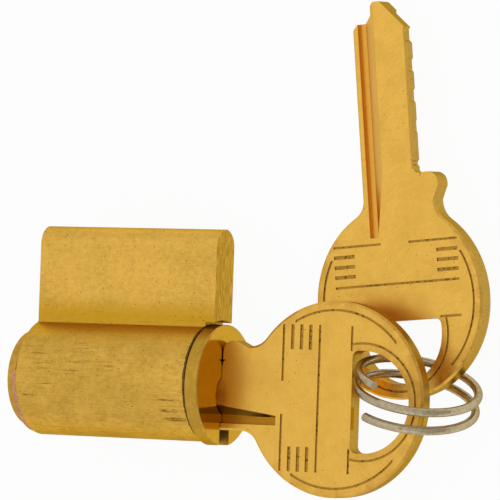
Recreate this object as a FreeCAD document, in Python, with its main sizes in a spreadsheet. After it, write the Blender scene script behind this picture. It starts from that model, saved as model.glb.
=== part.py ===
# Pin tumbler lock cylinder with its inserted key, a spare key and the split key ring.
# The row frame: X points from the plug to the bible, Y to the rear, Z up from the table.
# The origin is on the plug's axis, in the plane of the shell's front shoulder.
import FreeCAD, Part
import math
import os
import re
import Sketcher

Vector = FreeCAD.Vector
Rotation = FreeCAD.Rotation
Placement = FreeCAD.Placement

doc = FreeCAD.newDocument("LockCylinder")

# Driving sizes, in millimetres and degrees

SIZES = {
    "plug_radius": 6.35,
    "running_gap": 0.05,
    "flange_radius": 7.9375,
    "flange_thickness": 1.8,
    "flange_gap": 0.25,
    "flange_edge": 0.15,
    "face_recess_radius": 2.7,
    "face_recess_floor": 1.3,
    "face_recess_depth": 1.0,
    "face_recess_height": -1.3,
    "shell_radius": 7.7,
    "shell_offset": 0.23,
    "shell_length": 25.4,
    "bible_width": 4.75,
    "bible_overhang": 1.33,
    "bible_root_fillet": 0.35,
    "head_recess_radius": 8.5,
    "cover_seam_height": 19.05,
    "cover_thickness": 1.35,
    "cover_tongue_width": 3.4,
    "cover_tongue_depth": 0.6,
    "tail_length": 2.15,
    "tail_edge": 0.12,
    "drive_slot_width": 2.4,
    "drive_slot_depth": 1.1,
    "drive_slot_rim": 1.2,
    "clip_radius": 7.15,
    "clip_thickness": 0.82,
    "clip_side_gap": 0.04,
    "clip_groove_radius": 5.75,
    "clip_end_angle": 8.5,
    "chamber_count": 4,
    "chamber_first": 3.9,
    "chamber_pitch": 3.96,
    "chamber_radius": 1.5,
    "chamber_floor": 2.15,
    "pin_radius": 1.46,
    "pin_land_gap": 0.03,
    "pin_edge": 0.25,
    "pin_tip_radius": 0.5,
    "pin_tip_length": 0.95,
    "pin_top_below_shear": 0.1,
    "driver_above_shear": 0.03,
    "driver_length": 4.6,
    "spring_wire": 0.3,
    "spring_radius": 1.1,
    "spring_turns": 8,
    "spring_end_gap": 0.05,
    "key_thickness": 2.4,
    "key_side_gap": 0.1,
    "keyway_headroom": 0.35,
    "bow_radius": 12.7,
    "bow_height": -1.23,
    "bow_edge": 0.3,
    "blade_bottom": -5.8,
    "blade_top": 2.4,
    "blade_beyond_pins": 4.67,
    "tip_height": -1.43,
    "tip_width": 1.52,
    "tip_corner": 0.5,
    "tip_ledge": 1.0,
    "tip_step": 2.7,
    "tip_chamfer": 0.9,
    "stop_gap": 0.12,
    "stop_root_radius": 0.5,
    "nose_top": 5.9,
    "nose_length": 1.95,
    "nose_radius": 1.5,
    "neck_top": 5.25,
    "neck_start": 3.3,
    "neck_straight": 0.685,
    "neck_blend": 3.0,
    "shoulder_blend": 2.5,
    "groove_bottom": -4.9,
    "groove_floor_top": -3.9,
    "groove_top": -2.45,
    "groove_depth": 0.5,
    "groove_runout": 8.1,
    "groove_end_top": -3.66,
    "rebate_bottom": -0.3,
    "rebate_floor_bottom": 0.2,
    "rebate_depth": 0.95,
    "blade_bevel": 0.35,
    "cut_flat": 1.4,
    "cut_flank": 1.2,
    "relief_distance": 1.15,
    "relief_flat": 0.3,
    "relief_depth": 0.25,
    "cut_depth_1": 0.1,
    "cut_depth_2": 0.2,
    "cut_depth_3": 0.2,
    "cut_depth_4": 0.35,
    "hole_radius": 6.6,
    "hole_height": -1.45,
    "hole_setback": 4.1,
    "hole_flat_offset": 1.58,
    "hole_corner": 0.9,
    "rim_line_distance": 0.95,
    "mark_width": 0.44,
    "long_mark_width": 0.28,
    "mark_depth": 0.16,
    "mark_outer": 9.5,
    "mark_inner": 6.3,
    "mark_front": 7.55,
    "mark_pitch": 1.3,
    "mark_bar": 2.3,
    "mark_lower": 2.35,
    "mark_arc_radius": 11.5,
    "mark_arc_front": 31.0,
    "mark_arc_rear": 49.0,
    "spare_across": 13.17,
    "spare_setback": 2.24,
    "spare_depth": -5.15,
    "spare_heading": -84.7,
    "spare_pitch": 1.5,
    "spare_tilt": -6.9,
    "ring_radius": 7.8,
    "ring_wire": 1.12,
    "ring_pitch": 2.3,
    "ring_pitch_change": -0.3,
    "ring_across": 1.54,
    "ring_setback": 7.24,
    "ring_depth": 0.2,
    "ring_lean": 15.0,
    "ring_yaw": -15.8,
    "ring_turn_before": 0.982,
    "ring_turn_after": 1.035,
}

# Sizes that follow from the ones above
DERIVED = {
    "bible_top": "cover_seam_height + cover_thickness",
    "neck_length": "neck_straight + sqrt((bow_radius + neck_blend) ^ 2"
                   " - (neck_top + neck_blend - bow_height) ^ 2)"
                   " - sqrt(bow_radius ^ 2 - (neck_top - bow_height) ^ 2)",
    "bow_distance": "neck_start + neck_length + sqrt(bow_radius ^ 2 - (neck_top - bow_height) ^ 2)",
    "blade_length": "flange_gap + flange_thickness + chamber_first"
                    " + (chamber_count - 1) * chamber_pitch + blade_beyond_pins",
}

ROWS = list(SIZES.items()) + [(alias, "=" + text) for alias, text in DERIVED.items()]
ALIASES = [alias for alias, _ in ROWS]

sheet = doc.addObject("Spreadsheet::Sheet", "Sizes")
for row, (alias, value) in enumerate(ROWS, start=1):
    sheet.set("A%d" % row, alias.replace("_", " "))
    sheet.set("B%d" % row, str(value))
    sheet.setAlias("B%d" % row, alias)
doc.recompute()


def size(alias):
    return float(sheet.get(alias))


def formula(text):
    """The text with each size's name pointing at its cell."""
    def point(found):
        word = found.group(0)
        return "Sizes." + word if word in ALIASES else word
    return re.sub(r"[a-z][a-z_0-9]*", point, text)


def bind(obj, **properties):
    for name, text in properties.items():
        obj.setExpression(name.replace("__", "."), formula(text))
    return obj


def place(obj, x="0", y="0", z="0"):
    return bind(obj, Placement__Base__x=x, Placement__Base__y=y, Placement__Base__z=z)


# Solids from primitives

TURN_TO = {
    "X": Rotation(Vector(0, 1, 0), 90),
    "Y": Rotation(Vector(1, 0, 0), -90),
    "Z": Rotation(),
}


def cylinder(name, axis, radius, length, x="0", y="0", z="0"):
    obj = doc.addObject("Part::Cylinder", name)
    obj.Placement = Placement(Vector(), TURN_TO[axis])
    bind(obj, Radius=radius, Height=length)
    return place(obj, x, y, z)


def box(name, x, y, z, dx, dy, dz):
    obj = doc.addObject("Part::Box", name)
    bind(obj, Length=dx, Width=dy, Height=dz)
    return place(obj, x, y, z)


def fuse(name, *shapes):
    obj = doc.addObject("Part::MultiFuse", name)
    obj.Shapes = list(shapes)
    return obj


def cut(name, base, *tools):
    obj = doc.addObject("Part::Cut", name)
    obj.Base = base
    obj.Tool = tools[0] if len(tools) == 1 else fuse(name + "_tools", *tools)
    return obj


def common(name, first, second):
    obj = doc.addObject("Part::MultiCommon", name)
    obj.Shapes = [first, second]
    return obj


# Sketches and the features made from them

def origin_plane(body, role):
    return next(feature for feature in body.Origin.OriginFeatures if feature.Role == role)


def new_sketch(body, role, name):
    sketch = body.newObject("Sketcher::SketchObject", name)
    sketch.AttachmentSupport = [(origin_plane(body, role), "")]
    sketch.MapMode = "FlatFace"
    return sketch


def tie_point(sketch, geometry, point, name, across, up):
    """Ties one point of a sketch to the sketch's origin by two bound distances."""
    start = sketch.getPoint(geometry, point)
    for axis, value, text in (("X", start.x, across), ("Y", start.y, up)):
        index = sketch.addConstraint(Sketcher.Constraint("Distance" + axis, -1, 1, geometry, point, value))
        label = "%s_%s" % (name, axis)
        sketch.renameConstraint(index, label)
        sketch.setExpression("Constraints." + label, formula(text))


def polygon(body, role, name, corners):
    """A closed outline through corners, each given as two formulas."""
    sketch = new_sketch(body, role, name)
    count = len(corners)
    ways = [2 * math.pi * i / count for i in range(count)]
    ring = [Vector(math.cos(way), math.sin(way), 0) for way in ways]
    for i in range(count):
        sketch.addGeometry(Part.LineSegment(ring[i], ring[(i + 1) % count]))
    for i in range(count):
        sketch.addConstraint(Sketcher.Constraint("Coincident", i, 2, (i + 1) % count, 1))
    for i, (across, up) in enumerate(corners):
        tie_point(sketch, i, 1, "corner%d" % i, across, up)
    return sketch


def disc(body, role, name, radius, across, up):
    sketch = new_sketch(body, role, name)
    sketch.addGeometry(Part.Circle(Vector(), Vector(0, 0, 1), 1))
    index = sketch.addConstraint(Sketcher.Constraint("Radius", 0, 1))
    sketch.renameConstraint(index, "radius")
    sketch.setExpression("Constraints.radius", formula(radius))
    tie_point(sketch, 0, 3, "centre", across, up)
    return sketch


def both_sides(body, kind, name, profile, length):
    """A pad or pocket that reaches half its length to each side of its sketch."""
    feature = body.newObject("PartDesign::" + kind, name)
    feature.Profile = profile
    feature.SideType = "Symmetric"
    return bind(feature, Length=length)


def upright_edges(shape, places):
    """Names of the edges along Z that pass within a hair of the given places."""
    names = []
    for x, y in places:
        for number, edge in enumerate(shape.Edges, start=1):
            ends = [vertex.Point for vertex in edge.Vertexes]
            if len(ends) < 2 or abs(ends[0].z - ends[1].z) < 1:
                continue
            if all(math.hypot(end.x - x, end.y - y) < 0.02 for end in ends):
                names.append("Edge%d" % number)
    if len(names) != len(places):
        raise ValueError("%d edges found for %d corners" % (len(names), len(places)))
    return names


def round_edges(body, base, name, places, radius):
    doc.recompute()
    feature = body.newObject("PartDesign::Fillet", name)
    feature.Base = (base, upright_edges(base.Shape, places))
    return bind(feature, Radius=radius)


def turned(name, corners):
    """A piece turned about its own X axis from half its outline."""
    body = doc.addObject("PartDesign::Body", name)
    profile = polygon(body, "XY_Plane", name + "_profile", corners)
    feature = body.newObject("PartDesign::Revolution", name + "_turning")
    feature.Profile = profile
    feature.ReferenceAxis = (profile, ["H_Axis"])
    feature.Angle = 360
    return body


def bar_along_y(name, corners, start, length):
    """A bar of the given section in X and Z, from start towards the rear."""
    body = doc.addObject("PartDesign::Body", name)
    profile = polygon(body, "XZ_Plane", name + "_section", corners)
    feature = body.newObject("PartDesign::Pad", name + "_pad")
    feature.Profile = profile
    feature.Reversed = True
    bind(feature, Length=length)
    return place(body, y=start)


# Wound wire

def arc_pair(start, start_way, end, end_way):
    """Two tangent arcs from start to end that leave and arrive along the given ways."""
    chord = end - start
    ways = start_way + end_way
    slack = 2 * (1 - start_way.dot(end_way))
    reach = (math.sqrt(chord.dot(ways) ** 2 + slack * chord.dot(chord)) - chord.dot(ways)) / slack
    first_control = start + start_way * reach
    second_control = end - end_way * reach
    middle = (first_control + second_control) * 0.5
    return [arc_by_control(start, first_control, middle), arc_by_control(middle, second_control, end)]


def arc_by_control(start, control, end):
    """The arc whose end tangents meet at control."""
    chord_middle = (start + end) * 0.5
    half_chord = (end - start).Length / 2
    leg = (control - start).Length
    half_turn = math.acos(half_chord / leg)
    radius = half_chord / math.sin(half_turn)
    crown = chord_middle + (control - chord_middle).normalize() * radius * (1 - math.cos(half_turn))
    return Part.Arc(start, crown, end).toShape()


def wound_wire(label, centre, axis, first_way, radius, wire, turn_from, turn_to, rise):
    """A round wire wound about axis; rise gives the height along the axis at a turn."""
    second_way = axis.cross(first_way)

    def point(turn):
        angle = 2 * math.pi * turn
        return (centre + first_way * (radius * math.cos(angle)) + second_way * (radius * math.sin(angle))
                + axis * rise(turn))

    def way(turn):
        step = 1e-4
        return (point(turn + step) - point(turn - step)).normalize()

    count = math.ceil((turn_to - turn_from) * 4)
    turns = [turn_from + (turn_to - turn_from) * i / count for i in range(count + 1)]
    edges = []
    for here, there in zip(turns, turns[1:]):
        edges += arc_pair(point(here), way(here), point(there), way(there))
    spine = Part.Wire(edges)
    section = Part.Wire(Part.makeCircle(wire / 2, point(turn_from), way(turn_from)))
    pipe = Part.BRepOffsetAPI.MakePipeShell(spine)
    pipe.add(section)
    pipe.build()
    pipe.makeSolid()
    solid = pipe.shape()
    marks = [point(turn_from + i / 48) for i in range(int((turn_to - turn_from) * 48) + 1)]
    apart = min((a - b).Length for i, a in enumerate(marks) for b in marks[i + 24:])
    drawn = math.pi * (wire / 2) ** 2 * spine.Length
    print("%s: least gap to itself %.2f, volume %.3f of %.3f" % (label, apart - wire, solid.Volume, drawn))
    obj = doc.addObject("Part::Feature", label)
    obj.Shape = solid
    return obj


def chamber_place(number):
    return "chamber_first + %d * chamber_pitch" % number


CHAMBERS = range(int(size("chamber_count")))
HEAD_FRONT = "-(flange_gap + flange_thickness)"
HOLE_DISTANCE = "(bow_distance + hole_setback)"
SPRING_FOOT = "plug_radius + driver_above_shear + driver_length"
CHAMBER_TOP = "cover_seam_height - cover_tongue_depth"


# Shell with its bible

def bible_outline(name):
    """The bible's full outline: a flat web with a full-round top."""
    web = box(name + "_web", "0", "-bible_overhang", "-bible_width / 2",
              "bible_top - bible_width / 2", "shell_length + bible_overhang", "bible_width")
    crown = cylinder(name + "_crown", "Y", "bible_width / 2", "shell_length + bible_overhang",
                     x="bible_top - bible_width / 2", y="-bible_overhang")
    return fuse(name, web, crown)


def above_seam(name):
    return box(name, "cover_seam_height", "-bible_overhang", "-bible_width",
               "bible_width", "shell_length + bible_overhang", "2 * bible_width")


def cover_tongue(name):
    return box(name, CHAMBER_TOP, "-bible_overhang", "-cover_tongue_width / 2",
               "cover_tongue_depth", "shell_length + bible_overhang", "cover_tongue_width")


def make_shell():
    barrel = cylinder("barrel", "Y", "shell_radius", "shell_length", x="shell_offset")
    blank = fuse("shell_blank", barrel, bible_outline("bible"))
    head_recess = cylinder("head_recess", "Y", "head_recess_radius", "bible_overhang", y="-bible_overhang")
    shouldered = cut("shell_shouldered", blank, head_recess)
    doc.recompute()
    rounded = doc.addObject("Part::Fillet", "shell_rounded")
    rounded.Base = shouldered
    radius = size("bible_root_fillet")
    rounded.Edges = [(number, radius, radius) for number in bible_root_edges(shouldered.Shape)]
    bore = cylinder("plug_bore", "Y", "plug_radius + running_gap", "shell_length")
    chambers = [
        cylinder("shell_chamber_%d" % (i + 1), "X", "chamber_radius", CHAMBER_TOP, y=chamber_place(i))
        for i in CHAMBERS
    ]
    return cut("shell", rounded, bore, above_seam("cover_seat"), cover_tongue("cover_groove"), *chambers)


def bible_root_edges(shape):
    """The two lengthwise edges where the bible's sides meet the barrel."""
    half_width = size("bible_width") / 2
    height = size("shell_offset") + math.sqrt(size("shell_radius") ** 2 - half_width ** 2)
    found = []
    for number, edge in enumerate(shape.Edges, start=1):
        ends = [vertex.Point for vertex in edge.Vertexes]
        if len(ends) == 2 and abs(ends[0].y - ends[1].y) > size("shell_length") / 2:
            if all(abs(end.x - height) < 0.01 and abs(abs(end.z) - half_width) < 0.01 for end in ends):
                found.append(number)
    if len(found) != 2:
        raise ValueError("the bible's root edges were not found")
    return found


def make_spring_cover():
    cap = common("cover_cap", bible_outline("cover_outline"), above_seam("cover_side"))
    return fuse("spring_cover", cap, cover_tongue("cover_tongue"))


# Plug

def keyway_section():
    """The keyway: the blade's section with a gap all round, open at the bottom."""
    side = "(key_thickness / 2 + key_side_gap)"
    return [
        ("-flange_radius - 1", "-" + side),
        ("-flange_radius - 1", side),
        ("groove_bottom + key_side_gap", side),
        ("groove_bottom + key_side_gap", "key_thickness / 2 - groove_depth + key_side_gap"),
        ("groove_floor_top - key_side_gap", "key_thickness / 2 - groove_depth + key_side_gap"),
        ("groove_top - key_side_gap", side),
        ("blade_top + keyway_headroom", side),
        ("blade_top + keyway_headroom", "-(key_thickness / 2 - rebate_depth + key_side_gap)"),
        ("rebate_floor_bottom + key_side_gap", "-(key_thickness / 2 - rebate_depth + key_side_gap)"),
        ("rebate_bottom + key_side_gap", "-" + side),
    ]


def make_plug():
    whole = "flange_gap + flange_thickness + shell_length + tail_length"
    core = cylinder("plug_core", "Y", "plug_radius", whole, y=HEAD_FRONT)
    flange = cylinder("plug_flange", "Y", "flange_radius", "flange_thickness", y=HEAD_FRONT)
    blank = fuse("plug_blank", core, flange)
    doc.recompute()
    edged = doc.addObject("Part::Chamfer", "plug_edged")
    edged.Base = blank
    edged.Edges = end_rims(blank.Shape)
    keyway = bar_along_y("keyway", keyway_section(), HEAD_FRONT + " - 1", whole + " + 2")
    recess = doc.addObject("Part::Cone", "face_recess")
    recess.Placement = Placement(Vector(), TURN_TO["Y"])
    bind(recess, Radius1="face_recess_radius", Radius2="face_recess_floor", Height="face_recess_depth")
    place(recess, x="face_recess_height", y=HEAD_FRONT)
    groove_width = "clip_thickness + 2 * clip_side_gap"
    groove_ring = cylinder("clip_groove_ring", "Y", "plug_radius + 1", groove_width,
                           y="shell_length + clip_side_gap")
    groove_floor = cylinder("clip_groove_floor", "Y", "clip_groove_radius", groove_width,
                            y="shell_length + clip_side_gap")
    clip_groove = cut("clip_groove", groove_ring, groove_floor)
    drive_slot = box("drive_slot", "-drive_slot_width / 2", "shell_length + tail_length - drive_slot_depth",
                     "-(plug_radius - drive_slot_rim)", "drive_slot_width", "drive_slot_depth",
                     "2 * (plug_radius - drive_slot_rim)")
    chambers = [
        cylinder("plug_chamber_%d" % (i + 1), "X", "chamber_radius", "plug_radius",
                 x="chamber_floor", y=chamber_place(i))
        for i in CHAMBERS
    ]
    return cut("plug", edged, keyway, recess, clip_groove, drive_slot, *chambers)


def end_rims(shape):
    """The outer rims of the plug's front and rear faces, each with its chamfer."""
    rims = []
    for number, edge in enumerate(shape.Edges, start=1):
        if not isinstance(edge.Curve, Part.Circle):
            continue
        centre = edge.Curve.Center
        at_front = abs(centre.y + size("flange_gap") + size("flange_thickness")) < 0.001
        at_rear = abs(centre.y - size("shell_length") - size("tail_length")) < 0.001
        if at_front and abs(edge.Curve.Radius - size("flange_radius")) < 0.001:
            rims.append((number, size("flange_edge"), size("flange_edge")))
        if at_rear:
            rims.append((number, size("tail_edge"), size("tail_edge")))
    if len(rims) != 2:
        raise ValueError("the plug's end rims were not found")
    return rims


def make_retaining_clip():
    """An open ring in the plug's rear groove, with its gap at the top."""
    start = "shell_length + 2 * clip_side_gap"
    outer = cylinder("clip_outer", "Y", "clip_radius", "clip_thickness", y=start)
    bind(outer, Angle="180 + 2 * clip_end_angle")
    turn = TURN_TO["Y"].multiply(Rotation(Vector(0, 0, 1), 90 - size("clip_end_angle")))
    outer.Placement = Placement(outer.Placement.Base, turn)
    inner = cylinder("clip_inner", "Y", "clip_groove_radius + running_gap", "clip_thickness", y=start)
    return cut("retaining_clip", outer, inner)


# Pins and springs

def make_key_pin(number):
    foot = "blade_top + pin_land_gap"
    top = "plug_radius - pin_top_below_shear"
    pin = turned("key_pin_%d" % (number + 1), [
        (foot, "0"),
        (foot, "pin_tip_radius"),
        (foot + " + pin_tip_length", "pin_radius"),
        (top + " - pin_edge", "pin_radius"),
        (top, "pin_radius - pin_edge"),
        (top, "0"),
    ])
    return place(pin, y=chamber_place(number))


def make_driver_pin(number):
    foot = "plug_radius + driver_above_shear"
    pin = turned("driver_pin_%d" % (number + 1), [
        (foot, "0"),
        (foot, "pin_radius - pin_edge"),
        (foot + " + pin_edge", "pin_radius"),
        (SPRING_FOOT + " - pin_edge", "pin_radius"),
        (SPRING_FOOT, "pin_radius - pin_edge"),
        (SPRING_FOOT, "0"),
    ])
    return place(pin, y=chamber_place(number))


def make_pin_spring(number):
    clear_end = size("spring_wire") / 2 + size("spring_end_gap")
    foot = size("plug_radius") + size("driver_above_shear") + size("driver_length") + clear_end
    top = size("cover_seam_height") - size("cover_tongue_depth") - clear_end
    turns = size("spring_turns")
    centre = Vector(foot, size("chamber_first") + number * size("chamber_pitch"), 0)
    return wound_wire(
        "pin_spring_%d" % (number + 1), centre, Vector(1, 0, 0), Vector(0, 1, 0),
        size("spring_radius"), size("spring_wire"), 0, turns,
        lambda turn: (top - foot) * turn / turns)


# Keys, in their own frame: the flange's front face is at Y = 0 and the tip points to +Y

def make_key_blank():
    body = doc.addObject("PartDesign::Body", "key_blank")
    bow = both_sides(body, "Pad", "bow",
                     disc(body, "XY_Plane", "bow_outline", "bow_radius", "bow_height", "-bow_distance"),
                     "key_thickness")
    blade = both_sides(body, "Pad", "blade", polygon(body, "XY_Plane", "blade_outline", [
        ("bow_height", "-bow_distance"),
        ("blade_bottom", "-bow_distance"),
        ("blade_bottom", "blade_length - tip_step - tip_chamfer"),
        ("blade_bottom + tip_chamfer", "blade_length - tip_step"),
        ("tip_height - tip_width - tip_ledge", "blade_length - tip_step"),
        ("tip_height - tip_width", "blade_length - tip_step + tip_ledge"),
        ("tip_height - tip_width", "blade_length - tip_corner"),
        ("tip_height - tip_width + tip_corner", "blade_length"),
        ("tip_height", "blade_length"),
        ("blade_top", "blade_length + tip_height - blade_top"),
        ("blade_top", "-stop_gap"),
        ("nose_top", "-stop_gap"),
        ("nose_top", "-nose_length"),
        ("neck_top", "-neck_start"),
        ("neck_top", "-bow_distance"),
    ]), "key_thickness")
    doc.recompute()
    shoulder = round_edges(body, blade, "shoulder_blend_fillet", [bow_meets("blade_bottom")],
                           "shoulder_blend")
    neck = round_edges(body, shoulder, "neck_blend_fillet", [bow_meets("neck_top")], "neck_blend")
    nose = round_edges(body, neck, "nose_fillet", [(size("nose_top"), -size("stop_gap"))], "nose_radius")
    root = round_edges(body, nose, "stop_root_fillet", [(size("blade_top"), -size("stop_gap"))],
                       "stop_root_radius")
    hole = both_sides(body, "Pocket", "ring_hole", ring_hole_outline(body), "2 * key_thickness")
    flat = size("hole_flat_offset") - size("hole_setback") - size("bow_distance")
    corners = [(size("hole_height") + side * size("hole_radius"), flat) for side in (-1, 1)]
    holed = round_edges(body, hole, "ring_hole_corners", corners, "hole_corner")
    doc.recompute()
    rim = body.newObject("PartDesign::Chamfer", "bow_rim_bevel")
    rim.Base = (holed, bow_rims(holed.Shape))
    bind(rim, Size="bow_edge")
    return body


def bow_rims(shape):
    """The two long arcs of the bow's rim, one on each face."""
    names = []
    for number, edge in enumerate(shape.Edges, start=1):
        if isinstance(edge.Curve, Part.Circle) and abs(edge.Curve.Radius - size("bow_radius")) < 0.001:
            if edge.Length > size("bow_radius"):
                names.append("Edge%d" % number)
    if len(names) != 2:
        raise ValueError("the bow's two rims were not found")
    return names


def bow_meets(height):
    """Where a line along the key at this height runs into the bow's circle."""
    across = size(height) - size("bow_height")
    return size(height), math.sqrt(size("bow_radius") ** 2 - across ** 2) - size("bow_distance")


def ring_hole_outline(body):
    """A D: a half circle towards the bow's end, closed by a straight side."""
    sketch = new_sketch(body, "XY_Plane", "ring_hole_outline")
    left, right = Vector(-1, 0, 0), Vector(1, 0, 0)
    sketch.addGeometry(Part.ArcOfCircle(Part.Circle(Vector(), Vector(0, 0, 1), 1), math.pi, 2 * math.pi))
    sketch.addGeometry(Part.LineSegment(right, right + Vector(0, 1, 0)))
    sketch.addGeometry(Part.LineSegment(right + Vector(0, 1, 0), left + Vector(0, 1, 0)))
    sketch.addGeometry(Part.LineSegment(left + Vector(0, 1, 0), left))
    for i in range(4):
        sketch.addConstraint(Sketcher.Constraint("Coincident", i, 2, (i + 1) % 4, 1))
    for arc_end in (1, 2):
        sketch.addConstraint(Sketcher.Constraint("Horizontal", 0, 3, 0, arc_end))
    for side in (1, 3):
        sketch.addConstraint(Sketcher.Constraint("Vertical", side))
    sketch.addConstraint(Sketcher.Constraint("Horizontal", 2))
    index = sketch.addConstraint(Sketcher.Constraint("Radius", 0, 1))
    sketch.renameConstraint(index, "radius")
    sketch.setExpression("Constraints.radius", formula("hole_radius"))
    tie_point(sketch, 0, 3, "centre", "hole_height", "-" + HOLE_DISTANCE)
    index = sketch.addConstraint(Sketcher.Constraint("DistanceY", -1, 1, 1, 2, 1))
    sketch.renameConstraint(index, "flat")
    sketch.setExpression("Constraints.flat", formula("hole_flat_offset - " + HOLE_DISTANCE))
    return sketch


def blade_groove():
    """The long groove in the upper face of the blade."""
    half = "key_thickness / 2"
    return bar_along_y("blade_groove", [
        ("groove_bottom", half + " - groove_depth"),
        ("groove_floor_top", half + " - groove_depth"),
        ("groove_top", half),
        ("groove_top", half + " + 1"),
        ("groove_bottom", half + " + 1"),
    ], "0", "blade_length + 1")


def groove_taper():
    """The groove's end on the bow, where its sloping side draws in towards its floor."""
    face = size("key_thickness") / 2
    floor = face - size("groove_depth")
    sections = []
    for along, top in ((0, size("groove_top")), (-size("groove_runout"), size("groove_end_top"))):
        corners = [(size("groove_bottom"), floor), (size("groove_floor_top"), floor), (top, face),
                   (top, face + 1), (size("groove_bottom"), face + 1)]
        points = [Vector(across, along, up) for across, up in corners]
        sections.append(Part.makePolygon(points + points[:1]))
    taper = doc.addObject("Part::Feature", "groove_taper")
    taper.Shape = Part.makeLoft(sections, True, True)
    return taper


def blade_rebate():
    """The milled step along the lower face, up to the cut edge."""
    half = "key_thickness / 2"
    return bar_along_y("blade_rebate", [
        ("rebate_floor_bottom", "-(%s - rebate_depth)" % half),
        ("blade_top + 1", "-(%s - rebate_depth)" % half),
        ("blade_top + 1", "-(%s + 1)" % half),
        ("rebate_bottom", "-(%s + 1)" % half),
        ("rebate_bottom", "-" + half),
    ], "-stop_gap", "stop_gap + blade_length + 1")


def blade_cuts():
    """A shallow flat with sloping flanks under each pin, and a relief beside the stop."""
    wanted = [("stop_relief", "relief_distance", "relief_flat", "relief_depth")]
    for i in CHAMBERS:
        middle = "(%s + flange_gap + flange_thickness)" % chamber_place(i)
        wanted.append(("blade_cut_%d" % (i + 1), middle, "cut_flat", "cut_depth_%d" % (i + 1)))
    cutters = []
    for name, middle, flat, depth in wanted:
        cutter = doc.addObject("PartDesign::Body", name)
        low, high = middle + " - %s / 2" % flat, middle + " + %s / 2" % flat
        profile = polygon(cutter, "XY_Plane", name + "_outline", [
            ("blade_top - " + depth, low),
            ("blade_top + 1", low + " - cut_flank * (1 + %s)" % depth),
            ("blade_top + 1", high + " + cut_flank * (1 + %s)" % depth),
            ("blade_top - " + depth, high),
        ])
        both_sides(cutter, "Pad", name + "_pad", profile, "2 * key_thickness")
        cutters.append(cutter)
    return cutters


def blade_edge_bevel():
    """The narrow bevel between the upper face and the cut edge."""
    half = "key_thickness / 2"
    return bar_along_y("blade_edge_bevel", [
        ("blade_top - blade_bevel", half),
        ("blade_top", half + " - blade_bevel"),
        ("blade_top + 1", half + " - blade_bevel"),
        ("blade_top + 1", half + " + 1"),
        ("blade_top - blade_bevel", half + " + 1"),
    ], "-stop_gap + stop_root_radius", "stop_gap + blade_length + 1")


def engraved_marks():
    """Plain lines and arcs cut into both faces of the bow."""
    cutters = []

    def line(left, right, distance, width="mark_width"):
        for side, low in (("upper", "key_thickness / 2 - mark_depth"), ("lower", "-key_thickness / 2 - 1")):
            cutters.append(box("%s_mark_%d" % (side, len(cutters)), "bow_height + " + left,
                               "-(%s) - %s / 2" % (distance, width), low,
                               "%s - (%s)" % (right, left), width, "1 + mark_depth"))

    front = "bow_distance - mark_front"
    line("mark_inner / 2 - 1", "mark_outer", front, "long_mark_width")
    line("-mark_outer", "-mark_inner / 2 + 1", front, "long_mark_width")
    for i in (1, 2, 3):
        line("mark_inner", "mark_outer", front + " + %d * mark_pitch" % i)
        line("-mark_outer", "-mark_inner", front + " + %d * mark_pitch" % i)
    line("-mark_outer", "mark_outer", "bow_distance - mark_bar", "long_mark_width")
    line("mark_inner", "mark_outer", "bow_distance + mark_lower", "long_mark_width")
    line("-mark_outer", "-mark_inner", "bow_distance + mark_lower", "long_mark_width")
    for side, low in (("upper", "key_thickness / 2 - mark_depth"), ("lower", "-key_thickness / 2 - 1")):
        outer = cylinder(side + "_arcs_outer", "Z", "mark_arc_radius + long_mark_width / 2",
                         "1 + mark_depth", x="bow_height", y="-bow_distance", z=low)
        inner = cylinder(side + "_arcs_inner", "Z", "mark_arc_radius - long_mark_width / 2",
                         "1 + mark_depth", x="bow_height", y="-bow_distance", z=low)
        band = box(side + "_arcs_band", "bow_height - bow_radius",
                   "-bow_distance - mark_arc_radius * sin(mark_arc_rear * 1deg)", low, "2 * bow_radius",
                   "mark_arc_radius * (sin(mark_arc_rear * 1deg) + sin(mark_arc_front * 1deg))",
                   "1 + mark_depth")
        cutters.append(common(side + "_arcs", cut(side + "_arcs_ring", outer, inner), band))
    return cutters


def hole_rim_lines():
    """A line cut round the hole's curved edge on both faces."""
    lines = []
    for side, low in (("upper", "key_thickness / 2 - mark_depth"), ("lower", "-key_thickness / 2 - 1")):
        outer, inner = [
            cylinder("%s_rim_%s" % (side, name), "Z",
                     "hole_radius + rim_line_distance %s long_mark_width / 2" % sign,
                     "1 + mark_depth", x="hole_height", y="-" + HOLE_DISTANCE, z=low)
            for name, sign in (("outer", "+"), ("inner", "-"))
        ]
        half = box(side + "_rim_half", "hole_height - bow_radius", "-bow_distance - mark_lower - bow_radius",
                   low, "2 * bow_radius", "bow_radius", "1 + mark_depth")
        lines.append(common(side + "_rim_line", cut(side + "_rim_ring", outer, inner), half))
    return lines


def make_key_pattern():
    """One finished key; both keys are copies of it."""
    return cut("key_pattern", make_key_blank(), blade_groove(), groove_taper(), blade_rebate(),
               blade_edge_bevel(), *blade_cuts(), *hole_rim_lines(), *engraved_marks())


def key_copy(label, pattern, placement):
    obj = doc.addObject("Part::Feature", label)
    obj.Shape = pattern.Shape.copy()
    obj.Placement = placement
    return obj


def inserted_place():
    return Placement(Vector(0, -size("flange_gap") - size("flange_thickness"), 0), Rotation())


def hole_middle():
    """The middle of the inserted key's ring hole."""
    own = Vector(size("hole_height"), -size("bow_distance") - size("hole_setback"), 0)
    return inserted_place().multVec(own)


def spare_place():
    """The spare key lies nearly square to the first, with one edge low and its tip raised."""
    lean = Rotation(Vector(1, 0, 0), size("spare_pitch")).multiply(
        Rotation(Vector(0, 1, 0), size("spare_tilt")))
    turn = Rotation(Vector(0, 0, 1), size("spare_heading")).multiply(lean)
    bow = hole_middle() + Vector(size("spare_across"), -size("spare_setback"), size("spare_depth"))
    own_bow = Vector(size("bow_height"), -size("bow_distance"), 0)
    return Placement(bow - turn.multVec(own_bow), turn)


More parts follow.
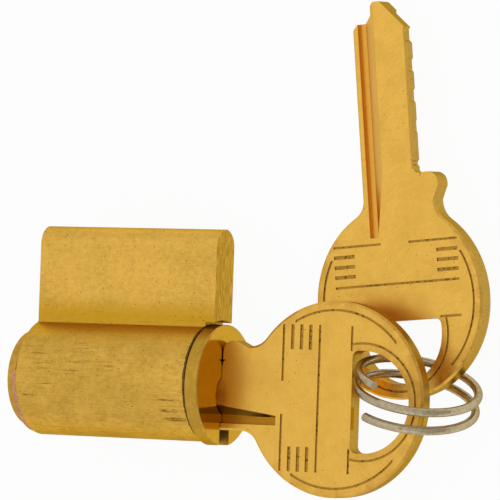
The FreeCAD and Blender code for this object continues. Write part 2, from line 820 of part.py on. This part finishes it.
def make_key_ring():
    """Two spread turns of round wire through both keys, with plain cut ends."""
    yaw = Rotation(Vector(0, 0, 1), size("ring_yaw"))
    lean = Rotation(Vector(0, 1, 0), -size("ring_lean"))
    turn = yaw.multiply(lean)
    axis = turn.multVec(Vector(1, 0, 0))
    first_way = turn.multVec(Vector(0, -1, 0))
    centre = hole_middle() + Vector(size("ring_across"), -size("ring_setback"), size("ring_depth"))
    pitch = size("ring_pitch")
    change = size("ring_pitch_change")
    return wound_wire("key_ring", centre, axis, first_way, size("ring_radius"), size("ring_wire"),
                      -1.0 / 3 - size("ring_turn_before"), -1.0 / 3 + size("ring_turn_after"),
                      lambda turn: pitch * (turn + 1.0 / 3) + change * (turn + 1.0 / 3) ** 2)


# The finished pieces, each under its own name

pieces = [make_shell(), make_spring_cover(), make_plug(), make_retaining_clip()]
for chamber in CHAMBERS:
    pieces += [make_key_pin(chamber), make_driver_pin(chamber), make_pin_spring(chamber)]
key_pattern = make_key_pattern()
doc.recompute()
pieces += [
    key_copy("key", key_pattern, inserted_place()),
    key_copy("spare_key", key_pattern, spare_place()),
    make_key_ring(),
]
doc.recompute()

for obj in doc.Objects:
    if "Invalid" in obj.State or "Error" in obj.State:
        raise ValueError("%s failed: %s" % (obj.Name, obj.State))
for piece in pieces:
    piece.Label = piece.Name
    shape = piece.Shape
    if shape.isNull() or not shape.isValid() or len(shape.Solids) != 1:
        raise ValueError("%s has no single valid solid (%d)" % (piece.Name, len(shape.Solids)))

os.makedirs("parts", exist_ok=True)
for piece in pieces:
    piece.Shape.exportStep("parts/%s.step" % piece.Label)
    print("%-16s volume %9.3f" % (piece.Label, piece.Shape.Volume))
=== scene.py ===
import math

import bmesh
import bpy
from mathutils import Matrix, Vector


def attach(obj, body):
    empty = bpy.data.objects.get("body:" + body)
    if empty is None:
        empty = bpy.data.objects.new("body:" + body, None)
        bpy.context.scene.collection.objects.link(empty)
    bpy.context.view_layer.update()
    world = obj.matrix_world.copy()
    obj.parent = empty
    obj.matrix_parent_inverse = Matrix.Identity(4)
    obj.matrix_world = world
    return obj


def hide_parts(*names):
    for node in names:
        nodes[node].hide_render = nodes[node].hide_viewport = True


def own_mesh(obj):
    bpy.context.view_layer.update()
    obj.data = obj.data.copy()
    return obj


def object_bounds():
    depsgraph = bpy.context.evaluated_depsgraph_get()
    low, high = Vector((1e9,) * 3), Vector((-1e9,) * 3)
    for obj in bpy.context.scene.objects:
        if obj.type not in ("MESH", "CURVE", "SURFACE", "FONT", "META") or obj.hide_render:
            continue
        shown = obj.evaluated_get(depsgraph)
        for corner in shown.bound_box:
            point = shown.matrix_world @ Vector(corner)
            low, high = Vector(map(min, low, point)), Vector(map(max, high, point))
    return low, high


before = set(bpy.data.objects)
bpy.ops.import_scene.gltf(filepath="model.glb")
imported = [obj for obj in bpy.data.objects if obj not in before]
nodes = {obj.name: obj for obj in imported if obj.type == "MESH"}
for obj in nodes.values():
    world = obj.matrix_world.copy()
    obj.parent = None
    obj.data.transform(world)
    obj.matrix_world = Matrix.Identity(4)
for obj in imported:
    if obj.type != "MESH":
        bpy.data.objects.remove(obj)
startLow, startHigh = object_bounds()
print("frame loaded:", len(nodes), "nodes")

mm = 0.001

# Node helpers

def startMaterial(name):
    material = bpy.data.materials.new(name)
    material.use_nodes = True
    tree = material.node_tree
    tree.nodes.clear()
    output = tree.nodes.new("ShaderNodeOutputMaterial")
    shader = tree.nodes.new("ShaderNodeBsdfPrincipled")
    tree.links.new(shader.outputs["BSDF"], output.inputs["Surface"])
    return material, tree, shader


def feed(tree, socket, value):
    if isinstance(value, bpy.types.NodeSocket):
        tree.links.new(value, socket)
    else:
        socket.default_value = value


def addNode(tree, kind, inputs=None, **settings):
    node = tree.nodes.new("ShaderNode" + kind)
    for name, value in settings.items():
        setattr(node, name, value)
    for name, value in (inputs or {}).items():
        feed(tree, node.inputs[name], value)
    return node


def maths(tree, operation, *values):
    node = addNode(tree, "Math", operation=operation)
    for socket, value in zip(node.inputs, values):
        feed(tree, socket, value)
    return node.outputs[0]


def times(tree, first, *others):
    for other in others:
        first = maths(tree, "MULTIPLY", first, other)
    return first


def remap(tree, value, fromLow, fromHigh, toLow=0.0, toHigh=1.0):
    node = addNode(tree, "MapRange", {"Value": value, "From Min": fromLow, "From Max": fromHigh,
                                      "To Min": toLow, "To Max": toHigh})
    return node.outputs["Result"]


def mixColour(tree, amount, first, second):
    # sockets 6 and 7 of a Mix node are its two colours, and its output 2 is the mixed one
    node = addNode(tree, "Mix", data_type="RGBA")
    feed(tree, node.inputs[0], amount)
    for socket, colour in ((6, first), (7, second)):
        plain = not isinstance(colour, bpy.types.NodeSocket)
        feed(tree, node.inputs[socket], (*colour, 1) if plain else colour)
    return node.outputs[2]


def parts(tree, vector):
    return addNode(tree, "SeparateXYZ", {"Vector": vector}).outputs


def distance(tree, point, middle):
    node = addNode(tree, "VectorMath", {0: point, 1: middle}, operation="DISTANCE")
    return node.outputs["Value"]


def fromAxis(tree, point):
    # how far a point is from the plug's axis
    spot = parts(tree, point)
    squares = [maths(tree, "POWER", spot[axis], 2.0) for axis in ("X", "Z")]
    return maths(tree, "SQRT", maths(tree, "ADD", *squares))


def ownSpace(tree, place=None):
    # point and normal in a piece's own frame; place is the matrix that put it in the set's frame
    spot = addNode(tree, "TexCoord")
    if place is None:
        return spot.outputs["Object"], spot.outputs["Normal"]
    back = place.inverted()
    turn = back.to_euler()
    point = addNode(tree, "Mapping", {"Vector": spot.outputs["Object"],
                                      "Location": back.translation, "Rotation": turn})
    normal = addNode(tree, "Mapping", {"Vector": spot.outputs["Normal"], "Rotation": turn},
                     vector_type="VECTOR")
    return point.outputs[0], normal.outputs[0]


# A layer of noise is a dictionary: size is the width of one blotch and stretch lengthens it along
# each axis. Between the first two of its levels it grows from the third to the fourth, or 0 to 1.
# A finish's rough, uneven, rimLevels and lipWidth are such levels too, of its mottle.

def noise(tree, point, layer):
    if "stretch" in layer:
        scale = [1 / long for long in layer["stretch"]]
        point = addNode(tree, "Mapping", {"Vector": point, "Scale": scale}).outputs[0]
    node = addNode(tree, "TexNoise", {"Vector": point, "Scale": 1 / layer["size"],
                                      "Detail": layer["detail"], "Roughness": layer["roughness"]})
    return node.outputs["Fac"]


def patches(tree, point, layer):
    return remap(tree, noise(tree, point, layer), *layer["levels"])


def specks(tree, point, pits):
    # small dark pits: a few cells of a Voronoi pattern, thinned by their own colour
    cells = addNode(tree, "TexVoronoi", {"Vector": point, "Scale": 1 / pits["size"]})
    near = maths(tree, "LESS_THAN", cells.outputs["Distance"], pits["radius"])
    chosen = maths(tree, "LESS_THAN", parts(tree, cells.outputs["Color"])[0], pits["share"])
    return times(tree, near, chosen, pits["amount"])


def smudge(tree, point, at, length, width, levels):
    # a long soft patch on the barrel: levels are the distances at which it starts and is full
    scale = (1 / width, 1 / length, 1 / width)
    near = addNode(tree, "Mapping", {"Vector": point, "Scale": scale,
                                     "Location": [-place * size for place, size in zip(at, scale)]})
    far = addNode(tree, "VectorMath", {0: near.outputs[0]}, operation="LENGTH")
    return remap(tree, far.outputs["Value"], *levels)


# What every finish ends with: rounded and rubbed edges, relief and gloss

surface = {
    "edgeSamples": 4,
    # how nearly the rounded normal follows the true one where wear starts and where it is full
    "rubbed": (0.99, 0.88),
    "broken": {"size": 0.9 * mm, "detail": 3, "roughness": 0.5, "levels": (0.40, 0.62)},
    "reliefDepth": 0.02 * mm,
}


def finishSurface(tree, shader, look, colour, roughness, height):
    edge = addNode(tree, "Bevel", {"Radius": look["edge"]}, samples=surface["edgeSamples"])
    # rubbed edges are paler: there the rounded normal leaves the true one
    true = addNode(tree, "NewGeometry").outputs["Normal"]
    turn = addNode(tree, "VectorMath", {0: edge.outputs[0], 1: true}, operation="DOT_PRODUCT")
    rubbed = remap(tree, turn.outputs["Value"], *surface["rubbed"], 0.0, look["wear"])
    broken = patches(tree, ownSpace(tree)[0], surface["broken"])
    colour = mixColour(tree, times(tree, rubbed, broken), colour, look["bright"])
    bump = addNode(tree, "Bump", {"Height": height, "Strength": look["bump"],
                                  "Distance": surface["reliefDepth"], "Normal": edge.outputs[0]})
    feed(tree, shader.inputs["Base Color"], colour)
    feed(tree, shader.inputs["Roughness"], roughness)
    feed(tree, shader.inputs["Normal"], bump.outputs[0])
    shader.inputs["Metallic"].default_value = 1.0
    # tarnish darkens the metal where it is seen at a glancing angle
    shader.inputs["Specular Tint"].default_value = (*look["glancing"], 1)


# Raw brass of the shell and the spring cover

rawBrass = {
    "light": (0.87, 0.515, 0.093),
    "dark": (0.46, 0.265, 0.036),
    "footShadeColour": (0.64, 0.35, 0.016),
    "sawn": (0.44, 0.26, 0.035),
    "bright": (0.98, 0.72, 0.28),
    "wear": 0.55,
    "glancing": (0.55, 0.45, 0.28),
    "scratch": (0.24, 0.13, 0.018),
    "pitDirtAndShade": (0.06, 0.035, 0.012),
    "rough": (0.3, 0.7, 0.36, 0.50),
    "bump": 0.45,
    "edge": 0.12 * mm,
    "broad": {"size": 5 * mm, "detail": 2, "roughness": 0.5, "levels": (0.35, 0.68, 0.0, 0.27)},
    "mottle": {"size": 0.6 * mm, "detail": 6, "roughness": 0.75, "stretch": (1, 1.4, 1),
               "levels": (0.38, 0.64, 0.0, 0.36)},
    "grain": {"size": 0.16 * mm, "detail": 3, "roughness": 0.7, "levels": (0.42, 0.68, 0.0, 0.35),
              "relief": 0.5},
    "drawn": {"size": 0.13 * mm, "detail": 4, "roughness": 0.65, "stretch": (1, 45, 1),
              "levels": (0.50, 0.70, 0.0, 0.40), "relief": 0.5},
    "scratches": {"size": 0.14 * mm, "detail": 2, "roughness": 0.5, "stretch": (1, 45, 1),
                  "levels": (0.60, 0.70, 0.0, 0.8)},
    "worn": {"size": 3.5 * mm, "detail": 2, "roughness": 0.5, "levels": (0.42, 0.60)},
    "broken": {"size": 0.22 * mm, "detail": 4, "roughness": 0.7, "stretch": (1, 4, 1),
               "levels": (0.38, 0.56)},
    "saw": {"size": 0.12 * mm, "detail": 3, "roughness": 0.6, "stretch": (14, 1, 1),
            "levels": (0.4, 0.65)},
    "pits": {"size": 0.35 * mm, "share": 0.08, "radius": 0.22, "amount": 0.75},
    # levels along X, from the barrel to the bible
    "biblePaler": (8.5 * mm, 11 * mm, 0.0, 0.22),
    "barrelLines": (10 * mm, 7 * mm, 0.25, 1.0),
    # where the painted shade under the bible starts and ends
    "footStart": (4.5 * mm, 8.4 * mm),
    "footEnd": (11.2 * mm, 8.8 * mm, 0.0, 0.88),
    # dark rubs: middle, length and width in millimetres
    "rubs": [((-3.5, 2.6, 6.7), 1.9, 0.42), ((-4.6, 2.0, 6.0), 2.4, 0.50),
             ((-2.1, 2.9, 7.3), 2.8, 0.20), ((-2.15, 23.5, 7.3), 1.4, 0.20)],
    "rubLevels": (1.0, 0.35),
    "endOn": 0.9,
    "shoulderRadius": 7.85 * mm,
    "shoulderFront": -0.5 * mm,
    "lipRadius": 8.0 * mm,
    "lipWidth": (0.3, 0.7, 0.16 * mm, 0.32 * mm),
    "lipAmount": 0.85,
}


def makeRawBrass():
    look = rawBrass
    material, tree, shader = startMaterial("rawBrassFinish")
    point, normal = ownSpace(tree)
    x, y = parts(tree, point)[:2]
    facing = parts(tree, normal)[1]
    mottle = noise(tree, point, look["mottle"])
    grain = noise(tree, point, look["grain"])
    drawn = noise(tree, point, look["drawn"])

    blend = maths(tree, "ADD", patches(tree, point, look["broad"]),
                  remap(tree, mottle, *look["mottle"]["levels"]))
    blend = maths(tree, "ADD", blend, remap(tree, grain, *look["grain"]["levels"]))
    blend = maths(tree, "SUBTRACT", blend, remap(tree, x, *look["biblePaler"]))
    colour = mixColour(tree, blend, look["light"], look["dark"])

    # drawn lines run along the barrel and fade out on the bible
    onBarrel = remap(tree, x, *look["barrelLines"])
    lines = times(tree, remap(tree, drawn, *look["drawn"]["levels"]), onBarrel)
    colour = mixColour(tree, lines, colour, look["dark"])

    # painted shade: a darker orange along the bible's foot and the top of the barrel, under the
    # bible
    footShade = times(tree, remap(tree, x, *look["footStart"]), remap(tree, x, *look["footEnd"]))
    colour = mixColour(tree, footShade, colour, look["footShadeColour"])

    # a few lengthwise scratches, and broken dark rubs near the barrel's ends
    scratches = times(tree, patches(tree, point, look["scratches"]),
                      patches(tree, point, look["worn"]), onBarrel)
    colour = mixColour(tree, scratches, colour, look["scratch"])
    broken = patches(tree, point, look["broken"])
    for at, length, width in look["rubs"]:
        middle = [place * mm for place in at]
        rub = smudge(tree, point, middle, length * mm, width * mm, look["rubLevels"])
        colour = mixColour(tree, times(tree, rub, broken), colour, look["scratch"])

    # saw marks on the faces at both ends
    endOn = maths(tree, "GREATER_THAN", maths(tree, "ABSOLUTE", facing), look["endOn"])
    sawn = mixColour(tree, patches(tree, point, look["saw"]), look["sawn"], look["light"])
    colour = mixColour(tree, endOn, colour, sawn)
    colour = mixColour(tree, specks(tree, point, look["pits"]), colour, look["pitDirtAndShade"])

    # painted shade in the gap behind the flange: the shell's shoulder and the lip round it are
    # darkened
    far = fromAxis(tree, point)
    shoulderShade = times(tree, maths(tree, "LESS_THAN", facing, -look["endOn"]),
                     maths(tree, "LESS_THAN", far, look["shoulderRadius"]),
                     maths(tree, "GREATER_THAN", y, look["shoulderFront"]))
    colour = mixColour(tree, shoulderShade, colour, look["pitDirtAndShade"])
    lipShade = times(tree, maths(tree, "LESS_THAN", y, remap(tree, mottle, *look["lipWidth"])),
                maths(tree, "LESS_THAN", far, look["lipRadius"]), look["lipAmount"])
    colour = mixColour(tree, lipShade, colour, look["pitDirtAndShade"])

    relief = maths(tree, "ADD", times(tree, grain, look["grain"]["relief"]),
                   times(tree, drawn, look["drawn"]["relief"]))
    finishSurface(tree, shader, look, colour, remap(tree, mottle, *look["rough"]), relief)
    return material


# Turned brass of the plug and the pins

turnedBrass = {
    "light": (0.64, 0.36, 0.055),
    "dark": (0.48, 0.26, 0.035),
    "rim": (0.52, 0.295, 0.036),
    "face": (0.68, 0.38, 0.052),
    "pitDirtAndShade": (0.06, 0.035, 0.012),
    "bright": (0.98, 0.74, 0.32),
    "wear": 0.8,
    "glancing": (0.60, 0.48, 0.30),
    "polished": 0.12,
    "turned": 0.36,
    "uneven": (0.3, 0.7, -0.03, 0.05),
    "bump": 0.2,
    "edge": 0.1 * mm,
    "mottle": {"size": 0.8 * mm, "detail": 4, "roughness": 0.6, "levels": (0.4, 0.7)},
    "rings": {"size": 0.07 * mm, "detail": 2, "roughness": 0.5},
    "pits": {"size": 0.6 * mm, "share": 0.07, "radius": 0.18, "amount": 1.0},
    "endOn": 0.9,
    "sideOn": 0.5,
    "faceAmount": 0.7,
    "rimLevels": (0.35, 0.65, 0.45, 1.0),
    "flangeBack": 1.0 * mm,
}


def makeTurnedBrass():
    look = turnedBrass
    material, tree, shader = startMaterial("turnedBrassFinish")
    point, normal = ownSpace(tree)
    y = parts(tree, point)[1]
    facing = parts(tree, normal)[1]
    mottle = noise(tree, point, look["mottle"])
    blend = remap(tree, mottle, *look["mottle"]["levels"])
    colour = mixColour(tree, blend, look["light"], look["dark"])
    colour = mixColour(tree, specks(tree, point, look["pits"]), colour, look["pitDirtAndShade"])
    front = maths(tree, "LESS_THAN", facing, -look["endOn"])
    # painted light: the front faces, the flange's face among them, are made paler
    colour = mixColour(tree, times(tree, front, look["faceAmount"]), colour, look["face"])

    # painted shade: the flange's rim is darker than its face, as shade under the bible
    rimShade = times(tree, maths(tree, "LESS_THAN", maths(tree, "ABSOLUTE", facing), look["sideOn"]),
                  maths(tree, "LESS_THAN", y, 0.0), remap(tree, mottle, *look["rimLevels"]))
    colour = mixColour(tree, rimShade, colour, look["rim"])

    # painted shade on the flange's rear face, in the gap in front of the shell
    rearFaceShade = times(tree, maths(tree, "GREATER_THAN", facing, look["endOn"]),
                   maths(tree, "LESS_THAN", y, look["flangeBack"]))
    colour = mixColour(tree, rearFaceShade, colour, look["pitDirtAndShade"])

    # fine rings from the lathe: this noise is the same all the way round the axis
    turning = addNode(tree, "CombineXYZ", {"X": fromAxis(tree, point), "Y": y})
    rings = noise(tree, turning.outputs[0], look["rings"])
    rough = remap(tree, front, 0.0, 1.0, look["turned"], look["polished"])
    rough = maths(tree, "ADD", rough, remap(tree, mottle, *look["uneven"]))
    finishSurface(tree, shader, look, colour, rough, rings)
    return material


# Satin brass of the two keys, in a key's own frame: the flange's front face is at Y = 0 in it

keyBrass = {
    "dark": (0.70, 0.39, 0.058),
    "bright": (0.95, 0.66, 0.22),
    "wear": 0.35,
    "glancing": (0.60, 0.48, 0.30),
    "cutEdge": (0.46, 0.30, 0.075),
    "markFloor": (0.34, 0.16, 0.018),
    "pitDirtAndShade": (0.05, 0.03, 0.01),
    "tarnish": (0.56, 0.26, 0.045),
    "rough": (0.3, 0.7, 0.30, 0.38),
    "bump": 0.16,
    "edge": 0.09 * mm,
    "brushAngle": 55,
    "mottle": {"size": 2.4 * mm, "detail": 4, "roughness": 0.55,
               "levels": (0.40, 0.72, 0.0, 0.35), "relief": 0.4},
    "brushed": {"size": 0.13 * mm, "detail": 4, "roughness": 0.7, "stretch": (1, 9, 1),
                "levels": (0.46, 0.70, 0.0, 0.55), "relief": 0.6},
    "grain": {"size": 0.14 * mm, "detail": 3, "roughness": 0.7, "levels": (0.48, 0.74, 0.0, 0.65)},
    "milled": {"size": 0.08 * mm, "detail": 3, "roughness": 0.6, "stretch": (1, 1, 12),
               "levels": (0.4, 0.7)},
    "stain": {"size": 1.5 * mm, "detail": 5, "roughness": 0.65, "levels": (0.38, 0.64, 0.0, 0.6)},
    "dirt": {"size": 0.5 * mm, "detail": 2, "roughness": 0.6, "levels": (0.56, 0.62, 0.0, 0.75)},
    "pits": {"size": 0.40 * mm, "share": 0.09, "radius": 0.14, "amount": 1.0},
    "bowMiddle": (-1.23 * mm, -16.5 * mm, 0.0),
    "holeMiddle": (-1.45 * mm, -20.6 * mm, 0.0),
    "bowFront": -8.3 * mm,
    # levels of the tarnish by distance from the hole's and the bow's middle, and along Y
    "holeStain": (8.6 * mm, 6.9 * mm),
    "holeStainStart": (-18.6 * mm, -20 * mm),
    "rimStain": (10.6 * mm, 12.4 * mm),
    "stainFront": -8 * mm,
    # how nearly a surface faces up or down: less than this on a side, more on the other two
    "sideOn": 0.3,
    "grooveFlat": 0.6,
    "markFlat": 0.95,
    "markAmount": 0.75,
    # heights over the key's middle plane, whose faces are 1.2 mm from it
    "belowFace": 1.15 * mm,
    "grooveSlope": (0.78 * mm, 0.72 * mm),
    "grooveBottom": 0.3 * mm,
    # along X: the groove's middle and how far it reaches to each side
    "grooveMiddle": -3.6 * mm,
    "grooveReach": 1.45 * mm,
}

# Where each key lies, in millimetres and degrees, and the colours in which the two differ, which
# are painted light and shade: the spare is paler, and the grooves' slope and floor colours are
# painted shade on the front key and painted light on the spare

keyPlaces = {
    "key": {"bow": (-1.23, -18.55, 0.0), "heading": 0.0, "pitch": 0.0, "tilt": 0.0,
            "light": (0.88, 0.515, 0.092),
            # painted shade: the front key's dark groove slope and floor
            "paintedSlope": (0.18, 0.085, 0.010), "floor": (0.44, 0.20, 0.014)},
    "spare_key": {"bow": (11.72, -24.89, -5.15), "heading": -84.7, "pitch": 1.5, "tilt": -6.9,
                  # painted light: paler than the front key's light colour
                  "light": (0.94, 0.555, 0.100),
                  # painted light: the spare's pale groove slope and floor
                  "paintedSlope": (0.90, 0.52, 0.12), "floor": (0.84, 0.42, 0.060)},
}


def keyMatrix(place):
    turn = (Matrix.Rotation(math.radians(place["heading"]), 4, "Z")
            @ Matrix.Rotation(math.radians(place["pitch"]), 4, "X")
            @ Matrix.Rotation(math.radians(place["tilt"]), 4, "Y"))
    ownBow = Matrix.Translation(-Vector(keyBrass["bowMiddle"]))
    return Matrix.Translation(Vector(place["bow"]) * mm) @ turn @ ownBow


def makeKeyBrass(name, place):
    look = keyBrass
    material, tree, shader = startMaterial(name)
    point, normal = ownSpace(tree, keyMatrix(place))
    x, y, z = parts(tree, point)
    height = maths(tree, "ABSOLUTE", z)
    across = maths(tree, "ABSOLUTE", parts(tree, normal)[2])
    mottle = noise(tree, point, look["mottle"])
    brushTurn = (0, 0, math.radians(look["brushAngle"]))
    brushSpace = addNode(tree, "Mapping", {"Vector": point, "Rotation": brushTurn}).outputs[0]
    brushed = noise(tree, brushSpace, look["brushed"])
    blotches = remap(tree, mottle, *look["mottle"]["levels"])
    colour = mixColour(tree, blotches, place["light"], look["dark"])
    strokes = remap(tree, brushed, *look["brushed"]["levels"])
    colour = mixColour(tree, strokes, colour, look["dark"])
    colour = mixColour(tree, patches(tree, point, look["grain"]), colour, look["dark"])

    # brown tarnish round the ring's hole and along the bow's rim
    fromHole = distance(tree, point, look["holeMiddle"])
    fromBow = distance(tree, point, look["bowMiddle"])
    stained = times(tree, remap(tree, fromHole, *look["holeStain"]),
                    remap(tree, y, *look["holeStainStart"]))
    stained = maths(tree, "MAXIMUM", stained, remap(tree, fromBow, *look["rimStain"]))
    stained = times(tree, stained, patches(tree, point, look["stain"]),
                    maths(tree, "LESS_THAN", y, look["stainFront"]))
    colour = mixColour(tree, stained, colour, look["tarnish"])

    # the milled sides, and between the groove's two walls on the upper face, which take the key's
    # floor colour: painted shade on the front key, painted light on the spare
    sideOn = maths(tree, "LESS_THAN", across, look["sideOn"])
    side = mixColour(tree, patches(tree, point, look["milled"]), look["cutEdge"], look["dark"])
    colour = mixColour(tree, sideOn, colour, side)
    inGroove = times(tree, maths(tree, "GREATER_THAN", z, look["grooveBottom"]),
                     maths(tree, "COMPARE", x, look["grooveMiddle"], look["grooveReach"]))
    colour = mixColour(tree, times(tree, inGroove, sideOn), colour, place["floor"])

    # the floors of the engraved lines, with dirt in places
    sunk = maths(tree, "LESS_THAN", height, look["belowFace"])
    onBow = maths(tree, "LESS_THAN", y, look["bowFront"])
    marked = times(tree, sunk, maths(tree, "GREATER_THAN", across, look["markFlat"]), onBow)
    colour = mixColour(tree, times(tree, marked, look["markAmount"]), colour, look["markFloor"])
    dirt = times(tree, marked, patches(tree, point, look["dirt"]))
    colour = mixColour(tree, dirt, colour, look["pitDirtAndShade"])

    # the milled groove keeps an orange colour that the rubbed faces have lost, with painted shade
    # over it on the front key and painted light on the spare
    groove = times(tree, inGroove, sunk, maths(tree, "GREATER_THAN", across, look["grooveFlat"]),
                   maths(tree, "SUBTRACT", 1.0, onBow))
    cutDepth = remap(tree, height, *look["grooveSlope"])
    colour = mixColour(tree, groove, colour,
                       mixColour(tree, cutDepth, place["paintedSlope"], place["floor"]))
    colour = mixColour(tree, specks(tree, point, look["pits"]), colour, look["pitDirtAndShade"])

    relief = maths(tree, "ADD", times(tree, brushed, look["brushed"]["relief"]),
                   times(tree, mottle, look["mottle"]["relief"]))
    finishSurface(tree, shader, look, colour, remap(tree, mottle, *look["rough"]), relief)
    return material


# Plain metals: the clip, the ring and the springs

clipCopper = {
    "light": (0.66, 0.33, 0.17),
    "dark": (0.42, 0.20, 0.09),
    "bright": (0.85, 0.55, 0.36),
    "wear": 0.3,
    "glancing": (0.7, 0.5, 0.4),
    "rough": (0.3, 0.7, 0.25, 0.40),
    "bump": 0.2,
    "edge": 0.06 * mm,
}
ringNickel = {
    "light": (0.54, 0.455, 0.30),
    "dark": (0.41, 0.31, 0.18),
    "bright": (0.70, 0.62, 0.52),
    "wear": 0.0,
    "glancing": (0.58, 0.46, 0.28),
    "rough": (0.3, 0.7, 0.17, 0.32),
    "bump": 0.03,
    "edge": 0.05 * mm,
}
springSteel = {
    "light": (0.62, 0.61, 0.58),
    "dark": (0.45, 0.44, 0.42),
    "bright": (0.7, 0.7, 0.7),
    "wear": 0.1,
    "glancing": (0.9, 0.9, 0.9),
    "rough": (0.3, 0.7, 0.25, 0.40),
    "bump": 0.15,
    "edge": 0.02 * mm,
}
plainMottle = {"size": 0.5 * mm, "detail": 4, "roughness": 0.6, "levels": (0.4, 0.72)}


def makePlainMetal(name, look):
    material, tree, shader = startMaterial(name)
    mottle = noise(tree, ownSpace(tree)[0], plainMottle)
    blend = remap(tree, mottle, *plainMottle["levels"])
    colour = mixColour(tree, blend, look["light"], look["dark"])
    finishSurface(tree, shader, look, colour, remap(tree, mottle, *look["rough"]), mottle)
    return material


def dress(names, material):
    for name in names:
        for slot in nodes[name].material_slots:
            slot.material = material


dress(["shell", "spring_cover"], makeRawBrass())
dress(["plug"] + [name for name in nodes if "_pin_" in name], makeTurnedBrass())
for name, place in keyPlaces.items():
    dress([name], makeKeyBrass(name + "Finish", place))
dress(["retaining_clip"], makePlainMetal("clipFinish", clipCopper))
dress(["key_ring"], makePlainMetal("ringFinish", ringNickel))
springFinish = makePlainMetal("springFinish", springSteel)
print("finishes made:", len(bpy.data.materials))

# Springs: each is copied from its node, welded, smoothed, given the spring finish and hung on the
# shell in its node's place

spring = {"count": 4, "lift": 2.5 * mm, "merge": 0.0001 * mm}


def makeSpring(number):
    node = "pin_spring_%d" % number
    mesh = nodes[node].data.copy()
    form = bmesh.new()
    form.from_mesh(mesh)
    bmesh.ops.remove_doubles(form, verts=form.verts, dist=spring["merge"])
    form.to_mesh(mesh)
    form.free()
    mesh.shade_smooth()
    mesh.materials.clear()
    mesh.materials.append(springFinish)
    coil = bpy.data.objects.new("spring_coil_%d" % number, mesh)
    bpy.context.scene.collection.objects.link(coil)
    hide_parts(node)
    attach(coil, "shell")
    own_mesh(coil)


for number in range(1, spring["count"] + 1):
    makeSpring(number)
print("springs made:", spring["count"])

# Floor: pale to the light, white to the camera and to the metal, and it keeps the shadow

floorLook = {"size": 3.0, "colour": (0.86, 0.86, 0.85, 1), "glow": (1, 1, 1, 1), "glowShare": 0.95}


def makeFloor():
    bpy.ops.mesh.primitive_plane_add(size=floorLook["size"], location=(0, 0, startLow.z))
    floor = bpy.context.object
    floor.name = "floor"
    material = bpy.data.materials.new("floorFinish")
    material.use_nodes = True
    tree = material.node_tree
    tree.nodes.clear()
    path = addNode(tree, "LightPath").outputs
    mirrored = maths(tree, "MAXIMUM", path["Is Glossy Ray"], path["Is Transmission Ray"])
    seen = maths(tree, "MAXIMUM", path["Is Camera Ray"], mirrored)
    pale = addNode(tree, "BsdfDiffuse", {"Color": floorLook["colour"]})
    glow = addNode(tree, "Emission", {"Color": floorLook["glow"], "Strength": 1.0})
    both = addNode(tree, "MixShader", {0: times(tree, seen, floorLook["glowShare"]),
                                       1: pale.outputs[0], 2: glow.outputs[0]})
    addNode(tree, "OutputMaterial", {"Surface": both.outputs[0]})
    floor.data.materials.append(material)


makeFloor()

# Light: a pale room and two soft panels

room = {
    # brightness by height, and along Y: darker on the side that the keys point to
    "level": (-0.2, 1.0, 0.70, 0.86),
    "front": (-0.9, 0.1, 0.66, 1.0),
    "colour": (1, 1, 1, 1),
}
panels = {
    "topPanel": {"at": (0.22, 0.22, 0.45), "size": 0.55, "brightness": 0.08},
    "sidePanel": {"at": (-0.40, -0.05, 0.30), "size": 0.40, "brightness": 0.30},
}


def makeRoom():
    world = bpy.data.worlds.new("room")
    bpy.context.scene.world = world
    world.use_nodes = True
    tree = world.node_tree
    tree.nodes.clear()
    way = parts(tree, addNode(tree, "TexCoord").outputs["Generated"])
    level = times(tree, remap(tree, way["Z"], *room["level"]),
                  remap(tree, way["Y"], *room["front"]))
    # the camera sees white
    toCamera = addNode(tree, "LightPath").outputs["Is Camera Ray"]
    strength = maths(tree, "MAXIMUM", level, toCamera)
    back = addNode(tree, "Background", {"Color": room["colour"], "Strength": strength})
    addNode(tree, "OutputWorld", {"Surface": back.outputs[0]})


def makePanel(name, panel):
    data = bpy.data.lights.new(name, "AREA")
    data.size = panel["size"]
    data.energy = panel["brightness"] * math.pi * panel["size"] ** 2
    lamp = bpy.data.objects.new(name, data)
    lamp.location = panel["at"]
    lamp.rotation_euler = Vector(panel["at"]).to_track_quat("Z", "Y").to_euler()
    bpy.context.scene.collection.objects.link(lamp)


makeRoom()
for name, panel in panels.items():
    makePanel(name, panel)
print("floor and light made")

# Camera: a long lens, looking down at the lock from in front, with +X up in the picture

view = {
    # degrees
    "elevation": 28.144,
    "swing": -1.382,
    "roll": 1.990,
    # millimetres
    "distance": 542.72,
    "aimRight": 3.30,
    "aimUp": 17.716,
    "frontFace": -1.9,
    "lens": 298.8,
    "sensor": 36.0,
    "clip": (0.01, 10.0),
}


def makeCamera():
    tip = math.radians(view["elevation"])
    swing = math.radians(view["swing"])
    roll = math.radians(view["roll"])
    back = Vector((math.sin(swing), -math.sin(tip) * math.cos(swing),
                   math.cos(tip) * math.cos(swing)))
    level = Vector((0, -math.cos(tip), -math.sin(tip)))
    upright = back.cross(level)
    right = level * math.cos(roll) + upright * math.sin(roll)
    up = upright * math.cos(roll) - level * math.sin(roll)
    place = back * view["distance"] + right * view["aimRight"] + up * view["aimUp"]
    place.y += view["frontFace"]
    turn = Matrix((right, up, back)).transposed().to_4x4()
    data = bpy.data.cameras.new("camera")
    data.lens = view["lens"]
    data.sensor_width = view["sensor"]
    data.clip_start, data.clip_end = view["clip"]
    camera = bpy.data.objects.new("camera", data)
    camera.matrix_world = Matrix.Translation(place * mm) @ turn
    bpy.context.scene.collection.objects.link(camera)
    bpy.context.scene.camera = camera


makeCamera()
bpy.context.scene.view_settings.view_transform = "Standard"
print("camera made")
